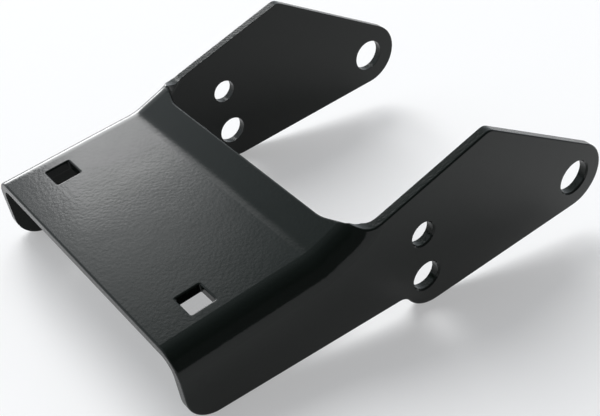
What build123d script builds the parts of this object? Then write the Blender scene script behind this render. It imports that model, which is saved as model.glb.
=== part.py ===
from build123d import *
import math
import os

# A bracket folded from one steel sheet: a flat web with a side flange bent down along each edge.
# Behind the web a short ramp kicks up, and each flange runs on as an arm that ends in a round ear.
# The blank was punched from its outer side, so the outline of the outer skin is rolled over.
# It is drawn level, with Y running back from the web's front edge and Z up from the web's top face,
# and is laid down at the end as it rests on a table, on its front corners and the arms' bellies.
# All lengths are millimetres and all angles degrees.

# Sheet and folds
sheet = 3.4
width = 114.3
bend_radius = 5.2
edge_roll = 0.6

# Web and ramp
web_length = 53.4
ramp_angle = 17.0
ramp_length = 10.6
ramp_bend_radius = 16.0

# Ramp corners: the cut end sweeps back on its way to the arms, then turns along them
ramp_corner_inset = 15.2
ramp_corner_sweep = 20.0
ramp_corner_radius = 13.7
arm_root_inset = 5.0
arm_root_radius = 4.0

# Side flanges
flange_drop = 27.9
flange_slope = 4.9
front_corner_radius = 10.3

# Fold: some way behind the web it turns up and runs out, so the arms stand flat from there on
fold_end_setback = 14.6
fold_end_angle = 65.0
fold_end_radius = 8.0

# Arms: the top edge climbs to a peak, then falls to the ear
relief_setback = 3.3
relief_angle = 32.2
relief_radius = 7.1
peak_back = 119.9
peak_rise = 11.5
peak_radius = 4.0
arm_climb = 12.1
belly_setback = 3.4
belly_radius = 12.7
notch_radius = 5.0

# Round holes across both arms
side_holes_back = 90.4
upper_hole = 8.7
upper_hole_drop = 12.9
lower_hole = 10.5
lower_hole_drop = 31.3
ear_hole = 12.7
ear_hole_back = 158.8
ear_hole_drop = 32.3
ear_rim = 6.35
hole_rim_break = 0.5

# Square bolt holes in the web
square_hole = 8.7
square_hole_corner = 0.5
square_hole_back = 17.8
square_hole_pitch = 81.4

# Places worked out from the sizes above
belly = Vector(side_holes_back + belly_setback, -lower_hole_drop)
ear = Vector(ear_hole_back, -ear_hole_drop)
ear_radius = ear_hole / 2 + ear_rim
peak = Vector(peak_back, peak_rise)
fold_end = web_length + fold_end_setback
relief_back = fold_end + relief_setback
relief = Vector(relief_back, peak_rise - math.tan(math.radians(arm_climb)) * (peak_back - relief_back))
reach_back = ear.X + ear_radius + sheet
reach_up = peak_rise + ramp_length
reach_down = 3 * (ear_hole_drop + ear_radius)

# An edge counts as sharp where its faces turn by more than this, and as on the skin within this gap
sharp_turn = 20.0
skin_gap = 0.001


def tangent(first, first_radius, second, second_radius):
    """Ends of the line that touches two circles on its left, on the way from the first to the second."""
    span = second - first
    turn = math.asin((first_radius - second_radius) / span.length)
    heading = math.atan2(span.Y, span.X) - turn
    left = Vector(-math.sin(heading), math.cos(heading))
    return first + left * first_radius, second + left * second_radius


def rounded(face, corners):
    """The face with each named corner rounded by its own radius."""
    for corner, radius in corners:
        vertex = face.vertices().sort_by_distance(corner)[0]
        face = fillet(vertex, radius)
    return face


def crease_below(corner, slope_before, slope_after, inset):
    """Where two slopes that meet at a corner meet once both lie lower by an inset, square to each."""
    middle = math.radians((slope_before + slope_after) / 2)
    reach = inset / math.cos(math.radians((slope_after - slope_before) / 2))
    return corner + Vector(math.sin(middle), -math.cos(middle)) * reach


def block_within_folds(inset, overrun):
    """The space that the sheet wraps, measured to its outer skin or to an inset below it."""
    ramp_rise = fold_end_setback * math.tan(math.radians(ramp_angle))
    ramp_crease = crease_below(Vector(web_length, 0), 0, ramp_angle, inset)
    fold_crease = crease_below(Vector(fold_end, ramp_rise), ramp_angle, fold_end_angle, inset)
    back = reach_back + overrun
    top = fold_crease.Y + (back - fold_crease.X) * math.tan(math.radians(fold_end_angle))
    side = make_face(
        Polyline(
            (-overrun, -inset),
            ramp_crease,
            fold_crease,
            (back, top),
            (back, -reach_down - overrun),
            (-overrun, -reach_down - overrun),
            close=True,
        )
    )
    side = rounded(side, [(ramp_crease, ramp_bend_radius + inset), (fold_crease, fold_end_radius + inset)])
    half = width / 2 - inset
    block = extrude(Plane.YZ * side, half, both=True)
    long_edges = block.edges().filter_by(lambda edge: abs(edge.center().X) > half / 2)
    folds = long_edges.filter_by(lambda edge: edge.center().Z > -2 * sheet and edge.center().Y < back - sheet)
    return fillet(folds, bend_radius + sheet - inset)


def folded_sheet():
    """Web, ramp and flanges as one bent sheet, not yet trimmed."""
    return block_within_folds(0, 0) - block_within_folds(sheet, sheet)


def side_outline():
    """Outline of the flange, arm and ear as seen from the side, open above the web and the ramp."""
    slope = math.tan(math.radians(flange_slope))
    fall = math.tan(math.radians(relief_angle))
    relief_top = Vector(relief.X - (reach_up - relief.Y) / fall, reach_up)
    ear_top = tangent(peak, 0, ear, ear_radius)[1]
    ear_bottom, belly_bottom = tangent(ear, ear_radius, belly, belly_radius)

    # The flange's lower edge ends where it meets the front of the belly's circle.
    above = (belly.Y + flange_drop + slope * belly.X) * math.cos(math.radians(flange_slope))
    heading = Vector(math.cos(math.radians(flange_slope)), -math.sin(math.radians(flange_slope)))
    foot = belly + Vector(heading.Y, -heading.X) * above
    belly_front = foot - heading * math.sqrt(belly_radius**2 - above**2)

    front_top = Vector(0, reach_up)
    front_low = Vector(0, -flange_drop)
    outline = [
        Line(front_top, relief_top),
        Line(relief_top, relief),
        Line(relief, peak),
        Line(peak, ear_top),
        TangentArc(ear_top, ear_bottom, tangent=ear_top - peak),
        Line(ear_bottom, belly_bottom),
        TangentArc(belly_bottom, belly_front, tangent=belly_bottom - ear_bottom),
        Line(belly_front, front_low),
        Line(front_low, front_top),
    ]
    corners = [
        (relief, relief_radius),
        (peak, peak_radius),
        (belly_front, notch_radius),
        (front_low, front_corner_radius),
    ]
    return rounded(make_face(outline), corners)


def ramp_end():
    """What is cut from behind the ramp, square to its face, between the roots of the two arms."""
    start = width / 2 - ramp_corner_inset
    root = width / 2 - arm_root_inset
    root_back = ramp_length + (root - start) * math.tan(math.radians(ramp_corner_sweep))
    far = reach_back
    outline = make_face(
        Polyline(
            (-root, far),
            (-root, root_back),
            (-start, ramp_length),
            (start, ramp_length),
            (root, root_back),
            (root, far),
            close=True,
        )
    )
    for side in (-1, 1):
        outline = rounded(
            outline,
            [
                ((side * start, ramp_length), ramp_corner_radius),
                ((side * root, root_back), arm_root_radius),
            ],
        )
    ramp_face = Plane((0, web_length, 0), x_dir=(1, 0, 0), z_dir=(0, 0, 1)).rotated((ramp_angle, 0, 0))
    return extrude(ramp_face * outline, -1.5 * sheet) + extrude(ramp_face * outline, reach_up)


def cross_hole(back, drop, diameter):
    """A round hole through both arms, with its two outer rims broken."""
    hole = extrude(Circle(diameter / 2), width, both=True)
    rim = Cone(diameter / 2, diameter / 2 + 2 * hole_rim_break, 2 * hole_rim_break)
    hole += Pos(0, 0, width / 2) * rim
    hole += Pos(0, 0, -width / 2) * Rot(X=180) * rim
    return Plane.YZ * Pos(back, -drop) * hole


def square_holes():
    """The two square holes through the web."""
    hole = extrude(RectangleRounded(square_hole, square_hole, square_hole_corner), 2 * sheet, both=True)
    return [Pos(side * square_hole_pitch / 2, square_hole_back) * hole for side in (-1, 1)]


def rolled_over(part):
    """The part with the outline of its outer skin, round holes apart, rounded as a punch leaves it."""
    skin = block_within_folds(0, 0).faces().sort_by(Axis.Y)[1:]
    neighbours = {}
    for face in part.faces():
        for edge in face.edges():
            neighbours.setdefault(edge, []).append(face)
    outline = []
    for edge, faces in neighbours.items():
        middle = edge @ 0.5
        turn = faces[0].normal_at(middle).get_angle(faces[-1].normal_at(middle))
        gap = min(face.distance_to(middle) for face in skin)
        if turn > sharp_turn and gap < skin_gap and not edge.is_closed:
            outline.append(edge)
    return fillet(outline, edge_roll)


def resting(part):
    """The part turned about X until its front corners and bellies stand on one level plane."""
    slope = math.radians(flange_slope)
    corner_z = -flange_drop - front_corner_radius * math.tan(slope) + front_corner_radius / math.cos(slope)
    corner = Vector(front_corner_radius, corner_z)
    behind, ahead = tangent(belly, belly_radius, corner, front_corner_radius)
    tilt = math.degrees(math.atan2(ahead.Y - behind.Y, behind.X - ahead.X))
    part = Rot(X=tilt) * part
    box = part.bounding_box()
    return Pos(0, -box.center().Y, -box.min.Z) * part


bracket = folded_sheet()
bracket &= extrude(Plane.YZ * side_outline(), width, both=True)
bracket -= ramp_end()
bracket -= cross_hole(side_holes_back, upper_hole_drop, upper_hole)
bracket -= cross_hole(side_holes_back, lower_hole_drop, lower_hole)
bracket -= cross_hole(ear_hole_back, ear_hole_drop, ear_hole)
bracket -= square_holes()
bracket = resting(rolled_over(bracket))

os.makedirs("parts", exist_ok=True)
export_step(bracket, "parts/bracket.step")
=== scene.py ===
import math

import bpy
from mathutils import Matrix, Vector


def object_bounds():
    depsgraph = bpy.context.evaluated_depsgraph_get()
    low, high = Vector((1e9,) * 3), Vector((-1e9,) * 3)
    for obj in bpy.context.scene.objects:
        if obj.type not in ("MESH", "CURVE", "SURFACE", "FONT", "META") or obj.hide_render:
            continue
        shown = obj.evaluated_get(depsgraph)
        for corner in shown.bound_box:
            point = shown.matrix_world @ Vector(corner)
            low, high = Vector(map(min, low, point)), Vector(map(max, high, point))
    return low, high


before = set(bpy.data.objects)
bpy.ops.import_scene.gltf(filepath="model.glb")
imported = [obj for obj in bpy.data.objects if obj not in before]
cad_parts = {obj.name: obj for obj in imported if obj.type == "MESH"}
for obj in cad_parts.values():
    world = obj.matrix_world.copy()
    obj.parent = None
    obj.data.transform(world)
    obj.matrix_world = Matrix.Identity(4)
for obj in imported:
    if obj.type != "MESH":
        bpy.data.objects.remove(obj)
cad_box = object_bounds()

# Everything is in metres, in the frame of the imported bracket: +X across it, +Y back along the arms.

# Camera, where the photograph was taken from, with its angles in degrees
CAMERA_AT = Vector((0.256164, -0.197587, 0.239787))
CAMERA_AZIMUTH = 52.4904
CAMERA_DROP = 35.4948
CAMERA_ROLL = 0.7568
LENS_MM = 67.524
SENSOR_MM = 36.0

# Black coat
COAT_COLOUR = (0.0036, 0.0064, 0.0046, 1.0)
COAT_THIN_COLOUR = (0.012, 0.0135, 0.0125, 1.0)
COAT_ROUGHNESS = (0.12, 0.16)
CUT_ROUGHNESS = 0.22
COAT_IOR = 1.33

# Surface of the coat: fine peel over slow waves, and the torn texture of the cut faces
PEEL_SCALE = 900.0
PEEL_HEIGHT = 0.000022
WAVE_SCALE = 90.0
WAVE_HEIGHT = 0.00003
SKIN_DETAIL = 2.0
CUT_SCALE = 1400.0
CUT_HEIGHT = 0.00012
CUT_DETAIL = 3.0

# Patches in which the gloss and the wear change, and the noise values between which they do
PATCH_SCALE = 45.0
PATCH_DETAIL = 4.0
GLOSS_PATCHES = (0.3, 0.7)
WEAR_PATCHES = (0.35, 0.65)
LEAST_WEAR = 0.3
NOISE_ROUGHNESS = 0.5

# Edges: how far they are softened, and the cosines between the softened and the true normal
# where the coat starts to thin and where it is thinnest
EDGE_RADIUS = 0.0003
EDGE_SAMPLES = 6
EDGE_FACING = (0.97, 0.75)

# Cut faces: the sheet's thickness, a gap that clears its inner face, and the most that a side cut's normal
# may lean outward along X, or the front cut's normal may have along Y
SHEET = 0.0034
INNER_FACE_GAP = 0.00005
SIDE_CUT_TURN = 0.5
FRONT_CUT_TURN = -0.9

# Floor, and the share of plain white that it shows to the camera and in reflections
FLOOR_SIZE = 20.0
FLOOR_COLOUR = (0.9, 0.9, 0.9, 1.0)
FLOOR_WHITE_SHARE = 0.36

# Tall soft box at the left, and a wide low glow behind it
BOX_AZIMUTH = 10.3
BOX_HEIGHT_ANGLE = 20.0
BOX_DISTANCE = 1.5
BOX_SIZE = (0.27, 1.2)
BOX_RADIANCE = 5.8
GLOW_AZIMUTH = 8.0
GLOW_HEIGHT_ANGLE = 6.0
GLOW_DISTANCE = 3.0
GLOW_SIZE = (2.4, 0.9)
GLOW_RADIANCE = 2.4

# Soft light from above the left side, which carries the floor's brightness
SKY_AZIMUTH = 10.0
SKY_HEIGHT_ANGLE = 48.0
SKY_DISTANCE = 2.0
SKY_SPREAD = 40.0
SKY_STRENGTH = 2.3

# Studio walls, by how far a direction points to the right: place from left to right, and colour
WALLS = [
    (0.0, (1.42, 1.45, 1.51, 1.0)),
    (0.175, (1.0, 1.07, 1.14, 1.0)),
    (0.5, (0.34, 0.355, 0.39, 1.0)),
    (0.8, (0.17, 0.175, 0.18, 1.0)),
    (1.0, (0.17, 0.175, 0.18, 1.0)),
]
CEILING_FROM = 0.64
CEILING_TO = 0.80
CEILING_DIMNESS = 0.5

# Halo on the walls round the soft box's upper end, with its angles in degrees
HALO_AZIMUTH = 10.0
HALO_HEIGHT_ANGLE = 42.0
HALO_REACH = 8.0
HALO_CORE = 1.0
HALO_RADIANCE = 2.0


def node_tree(tree):
    """Short ways to add nodes and links to a node tree, which is emptied first."""
    tree.nodes.clear()

    def add(kind, settings=None, **values):
        node = tree.nodes.new(kind)
        for key, value in (settings or {}).items():
            setattr(node, key, value)
        for key, value in values.items():
            node.inputs[key.replace("_", " ")].default_value = value
        return node

    return add, tree.links.new


def new_material(name):
    """A material with no nodes yet, and the short ways to add them."""
    material = bpy.data.materials.new(name)
    material.use_nodes = True
    add, link = node_tree(material.node_tree)
    return material, add, link


def noise(add, link, place, scale, detail):
    """The values of a noise texture over the object."""
    texture = add("ShaderNodeTexNoise", Scale=scale, Detail=detail, Roughness=NOISE_ROUGHNESS)
    link(place.outputs["Object"], texture.inputs["Vector"])
    return texture.outputs["Fac"]


def mapped(add, link, value, low, high, to_low, to_high):
    """A value carried from one range to another, and held at its ends."""
    node = add("ShaderNodeMapRange", From_Min=low, From_Max=high, To_Min=to_low, To_Max=to_high)
    link(value, node.inputs["Value"])
    return node.outputs["Result"]


def maths(add, link, operation, value, other=None):
    """One operation on a value, and on a second value or number where it takes one."""
    node = add("ShaderNodeMath", {"operation": operation})
    link(value, node.inputs[0])
    if isinstance(other, float):
        node.inputs[1].default_value = other
    elif other is not None:
        link(other, node.inputs[1])
    return node.outputs["Value"]


def bumped(add, link, height, distance, normal, share=None):
    """A normal with a bump laid over it, everywhere or by a share of its strength."""
    node = add("ShaderNodeBump", Strength=1.0, Distance=distance)
    link(height, node.inputs["Height"])
    link(normal, node.inputs["Normal"])
    if share is not None:
        link(share, node.inputs["Strength"])
    return node.outputs["Normal"]


def cut_faces(add, link, place, geometry):
    """1 on the cut faces of the arms, the flanges and the web's front, and in the round holes."""
    spot = add("ShaderNodeSeparateXYZ")
    link(place.outputs["Object"], spot.inputs["Vector"])
    lie = add("ShaderNodeSeparateXYZ")
    link(geometry.outputs["Normal"], lie.inputs["Vector"])
    aside = maths(add, link, "ABSOLUTE", spot.outputs["X"])
    outward = maths(add, link, "ABSOLUTE", lie.outputs["X"])
    inner_face = float(cad_box[1][0]) - SHEET
    in_sheet = maths(add, link, "GREATER_THAN", aside, inner_face + INNER_FACE_GAP)
    across = maths(add, link, "LESS_THAN", outward, SIDE_CUT_TURN)
    side_cut = maths(add, link, "MULTIPLY", in_sheet, across)
    front_cut = maths(add, link, "LESS_THAN", lie.outputs["Y"], FRONT_CUT_TURN)
    return maths(add, link, "MAXIMUM", side_cut, front_cut)


def thin_edges(add, link, geometry, edge, patches):
    """How far the coat thins along the edges, more in some patches than in others."""
    facing = add("ShaderNodeVectorMath", {"operation": "DOT_PRODUCT"})
    link(edge.outputs["Normal"], facing.inputs[0])
    link(geometry.outputs["Normal"], facing.inputs[1])
    thin = mapped(add, link, facing.outputs["Value"], *EDGE_FACING, 0.0, 1.0)
    worn = mapped(add, link, patches, *WEAR_PATCHES, LEAST_WEAR, 1.0)
    return maths(add, link, "MULTIPLY", thin, worn)


def black_coat():
    """Thick black coating: satin gloss, fine orange peel, and thinner along the edges."""
    material, add, link = new_material("black_coated_steel")
    out = add("ShaderNodeOutputMaterial")
    shader = add("ShaderNodeBsdfPrincipled", IOR=COAT_IOR)
    place = add("ShaderNodeTexCoord")
    geometry = add("ShaderNodeNewGeometry")
    edge = add("ShaderNodeBevel", {"samples": EDGE_SAMPLES}, Radius=EDGE_RADIUS)
    patches = noise(add, link, place, PATCH_SCALE, PATCH_DETAIL)
    cut = cut_faces(add, link, place, geometry)

    colour = add("ShaderNodeMix", {"data_type": "RGBA"})
    colour.inputs["A"].default_value = COAT_COLOUR
    colour.inputs["B"].default_value = COAT_THIN_COLOUR
    link(thin_edges(add, link, geometry, edge, patches), colour.inputs["Factor"])
    link(colour.outputs["Result"], shader.inputs["Base Color"])

    rough = add("ShaderNodeMix", {"data_type": "FLOAT"})
    rough.inputs["B"].default_value = CUT_ROUGHNESS
    link(cut, rough.inputs["Factor"])
    link(mapped(add, link, patches, *GLOSS_PATCHES, *COAT_ROUGHNESS), rough.inputs["A"])
    link(rough.outputs["Result"], shader.inputs["Roughness"])

    wave = noise(add, link, place, WAVE_SCALE, SKIN_DETAIL)
    peel = noise(add, link, place, PEEL_SCALE, SKIN_DETAIL)
    tear = noise(add, link, place, CUT_SCALE, CUT_DETAIL)
    normal = bumped(add, link, wave, WAVE_HEIGHT, edge.outputs["Normal"])
    normal = bumped(add, link, peel, PEEL_HEIGHT, normal)
    normal = bumped(add, link, tear, CUT_HEIGHT, normal, cut)
    link(normal, shader.inputs["Normal"])
    link(shader.outputs["BSDF"], out.inputs["Surface"])
    return material


def pale_floor():
    """Plain pale floor, partly plain white to the camera and in reflections."""
    material, add, link = new_material("pale_floor")
    out = add("ShaderNodeOutputMaterial")
    lit = add("ShaderNodeBsdfDiffuse", Color=FLOOR_COLOUR)
    white = add("ShaderNodeEmission", Strength=1.0)
    rays = add("ShaderNodeLightPath").outputs
    seen = maths(add, link, "MAXIMUM", rays["Is Camera Ray"], rays["Is Glossy Ray"])
    seen = maths(add, link, "MAXIMUM", seen, rays["Is Transmission Ray"])
    share = mapped(add, link, seen, 0.0, 1.0, 0.0, FLOOR_WHITE_SHARE)
    mix = add("ShaderNodeMixShader")
    link(share, mix.inputs["Fac"])
    link(lit.outputs["BSDF"], mix.inputs[1])
    link(white.outputs["Emission"], mix.inputs[2])
    link(mix.outputs["Shader"], out.inputs["Surface"])
    return material


def make_floor():
    """Square of floor under the bracket, which isn't part of it."""
    half = FLOOR_SIZE / 2
    mesh = bpy.data.meshes.new("floor")
    corners = [(-half, -half, 0), (half, -half, 0), (half, half, 0), (-half, half, 0)]
    mesh.from_pydata(corners, [], [(0, 1, 2, 3)])
    mesh.materials.append(pale_floor())
    floor = bpy.data.objects.new("floor", mesh)
    bpy.context.scene.collection.objects.link(floor)


def direction(azimuth, height):
    """Unit vector by its heading, from the left side towards the back, and its angle above the floor."""
    azimuth = math.radians(azimuth)
    height = math.radians(height)
    level = math.cos(height)
    return Vector((-level * math.cos(azimuth), level * math.sin(azimuth), math.sin(height)))


def add_light(name, lamp, towards, distance):
    """A lamp that stands in a direction from the bracket and faces it."""
    holder = bpy.data.objects.new(name, lamp)
    holder.location = towards * distance
    holder.rotation_euler = (-towards).to_track_quat("-Z", "Y").to_euler()
    bpy.context.scene.collection.objects.link(holder)
    return holder


def soft_box(name, towards, distance, size, radiance):
    """A rectangular soft box of a given radiance."""
    lamp = bpy.data.lights.new(name, "AREA")
    lamp.shape = "RECTANGLE"
    lamp.size, lamp.size_y = size
    lamp.energy = radiance * math.pi * size[0] * size[1]
    add_light(name, lamp, towards, distance)


def sky_light():
    """Wide soft light on the floor, too even to show in the coat."""
    lamp = bpy.data.lights.new("sky", "SUN")
    lamp.energy = SKY_STRENGTH
    lamp.angle = math.radians(SKY_SPREAD)
    holder = add_light("sky", lamp, direction(SKY_AZIMUTH, SKY_HEIGHT_ANGLE), SKY_DISTANCE)
    holder.visible_glossy = False


def wall_light(add, link, spot):
    """The walls' colour, which falls from left to right and dims towards the ceiling."""
    rightness = mapped(add, link, spot["X"], -1.0, 1.0, 0.0, 1.0)
    ramp = add("ShaderNodeValToRGB")
    stops = ramp.color_ramp.elements
    stops[0].position, stops[0].color = WALLS[0]
    stops[1].position, stops[1].color = WALLS[-1]
    for position, colour in WALLS[1:-1]:
        stops.new(position).color = colour
    link(rightness, ramp.inputs["Fac"])
    dim = mapped(add, link, spot["Z"], CEILING_FROM, CEILING_TO, 1.0, CEILING_DIMNESS)
    dimmed = add("ShaderNodeVectorMath", {"operation": "SCALE"})
    link(ramp.outputs["Color"], dimmed.inputs[0])
    link(dim, dimmed.inputs["Scale"])
    return dimmed.outputs["Vector"]


def halo_light(add, link, place):
    """The halo's radiance, which falls from its core to its rim."""
    towards = add("ShaderNodeVectorMath", {"operation": "DOT_PRODUCT"})
    link(place.outputs["Generated"], towards.inputs[0])
    towards.inputs[1].default_value = direction(HALO_AZIMUTH, HALO_HEIGHT_ANGLE)
    rim = math.cos(math.radians(HALO_REACH))
    core = math.cos(math.radians(HALO_CORE))
    return mapped(add, link, towards.outputs["Value"], rim, core, 0.0, HALO_RADIANCE)


def studio_walls():
    """Surroundings that are bright on the left and dim on the right, with the halo on them."""
    world = bpy.data.worlds.new("studio")
    world.use_nodes = True
    add, link = node_tree(world.node_tree)
    out = add("ShaderNodeOutputWorld")
    background = add("ShaderNodeBackground")
    place = add("ShaderNodeTexCoord")
    split = add("ShaderNodeSeparateXYZ")
    link(place.outputs["Generated"], split.inputs["Vector"])
    total = add("ShaderNodeVectorMath", {"operation": "ADD"})
    link(wall_light(add, link, split.outputs), total.inputs[0])
    link(halo_light(add, link, place), total.inputs[1])
    link(total.outputs["Vector"], background.inputs["Color"])
    link(background.outputs["Background"], out.inputs["Surface"])
    bpy.context.scene.world = world


def make_camera():
    """Camera at the photograph's place, turned by its heading, its pitch from straight down and its roll."""
    data = bpy.data.cameras.new("camera")
    data.sensor_width = SENSOR_MM
    data.lens = LENS_MM
    camera = bpy.data.objects.new("camera", data)
    heading = Matrix.Rotation(math.radians(CAMERA_AZIMUTH), 4, "Z")
    pitch = Matrix.Rotation(math.radians(90.0 - CAMERA_DROP), 4, "X")
    roll = Matrix.Rotation(math.radians(CAMERA_ROLL), 4, "Z")
    camera.matrix_world = Matrix.Translation(CAMERA_AT) @ heading @ pitch @ roll
    bpy.context.scene.collection.objects.link(camera)
    bpy.context.scene.camera = camera


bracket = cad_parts["bracket"]
bracket.data.materials.clear()
bracket.data.materials.append(black_coat())

make_floor()
soft_box("soft_box", direction(BOX_AZIMUTH, BOX_HEIGHT_ANGLE), BOX_DISTANCE, BOX_SIZE, BOX_RADIANCE)
soft_box("glow", direction(GLOW_AZIMUTH, GLOW_HEIGHT_ANGLE), GLOW_DISTANCE, GLOW_SIZE, GLOW_RADIANCE)
sky_light()
studio_walls()
make_camera()
bpy.context.scene.view_settings.view_transform = "Standard"
